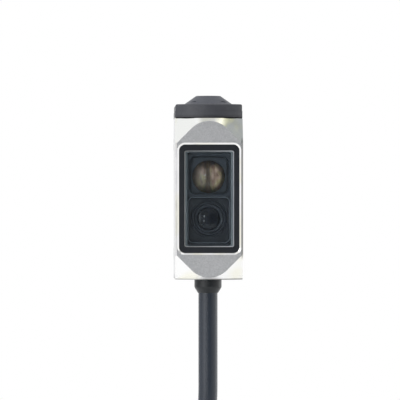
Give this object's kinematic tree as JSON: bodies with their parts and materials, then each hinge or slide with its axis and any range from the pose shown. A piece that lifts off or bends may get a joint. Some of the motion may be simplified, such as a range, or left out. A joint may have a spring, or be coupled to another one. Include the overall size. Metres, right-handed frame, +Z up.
{
  "type": "photoelectric sensor",
  "caption": "Slim stainless steel photoelectric sensor with a clear optical window, conical setting ring on its cap and a cable from its lower end.",
  "frame": {"origin": "midpoint between the two side mounting holes, halfway through the housing's width", "axes": "+Z up towards the cap, +X across the width along the mounting holes, the optical face looks along -Y"},
  "size_m": [0.0252, 0.0692, 0.1734],
  "materials": {
    "stainless": "fine bead-blasted front face, polished facets and side faces",
    "black_plastic": "moulded, fine satin",
    "holder_black": "moulded, satin, slightly lighter than the frame",
    "black_rubber": "moulded rubber",
    "seal_grey": "smooth bonding gasket, satin",
    "clear_pane": "clear hard-coated plastic pane, glossy",
    "clear_lens": "polished clear lens",
    "dark_lens": "polished dark daylight-filter lens",
    "white_package": "moulded white package",
    "dark_package": "black epoxy",
    "gold": "gold-plated metal",
    "board_green": "solder-masked circuit board",
    "chip_black": "moulded epoxy, matt",
    "capacitor_tan": "ceramic, satin",
    "cap_grey": "dark grey moulded plastic, fine grain",
    "ring_grey": "dark grey moulded plastic, slightly lighter",
    "magnet_steel": "nickel-plated",
    "trimmer_blue": "moulded plastic",
    "guide_green": "tinted translucent plastic",
    "guide_amber": "tinted translucent plastic",
    "gland_black": "soft black moulded plastic, satin",
    "cable_jacket": "smooth extruded jacket, satin black",
    "core_brown": "extruded insulation",
    "core_white": "extruded insulation",
    "core_blue": "extruded insulation",
    "core_black": "extruded insulation",
    "tie_black": "moulded nylon strap"
  },
  "bodies": {
    "sensor": {"housing": "stainless", "window_frame": "black_plastic", "frame_seal": "black_rubber", "front_window": "clear_pane", "window_seal": "seal_grey", "optics_holder": "holder_black", "emitter_lens": "clear_lens", "receiver_lens": "dark_lens", "emitter_stop": "black_plastic", "receiver_stop": "black_plastic", "emitter_led": "white_package", "emitter_leadframe": "gold", "receiver_diode": "dark_package", "main_board": "board_green", "cap_board": "board_green", "board_pins": "gold", "controller_chip": "chip_black", "driver_chip": "chip_black", "capacitors": "capacitor_tan", "resistors": "chip_black", "cap": "cap_grey", "cap_seal": "black_rubber", "trimmer_body": "trimmer_blue", "power_light_guide": "guide_green", "power_led": "white_package", "output_light_guide": "guide_amber", "output_led": "white_package", "hall_sensor": "chip_black", "cable_gland": "gland_black", "cable_seal": "black_rubber", "crimp_ring": "magnet_steel", "cable_end": "cable_jacket", "inner_core_brown": "core_brown", "inner_core_white": "core_white", "inner_core_blue": "core_blue", "inner_core_black": "core_black", "cable_lead": "cable_jacket", "cable_coil": "cable_jacket", "cable_tail": "cable_jacket", "tail_core_brown": "core_brown", "tail_core_white": "core_white", "tail_core_blue": "core_blue", "tail_core_black": "core_black", "tie_front": "tie_black", "tie_back": "tie_black"},
    "mode_ring": {"setting_ring": "ring_grey", "ring_magnet": "magnet_steel", "ring_seal": "black_rubber"},
    "adjuster": {"adjusting_spindle": "ring_grey", "spindle_seal": "black_rubber", "trimmer_rotor": "gold"}
  },
  "joints": [
    {"name": "mode_ring_turn", "type": "hinge", "parent": "sensor", "child": "mode_ring", "pos_m": [0, -0.0145, 0.02175], "axis": [0, 0, 1], "range_deg": [0, 90]},
    {"name": "adjuster_turn", "type": "hinge", "parent": "sensor", "child": "adjuster", "pos_m": [0, -0.0145, 0.02175], "axis": [0, 0, 1], "range_deg": [-135, 135]}
  ]
}
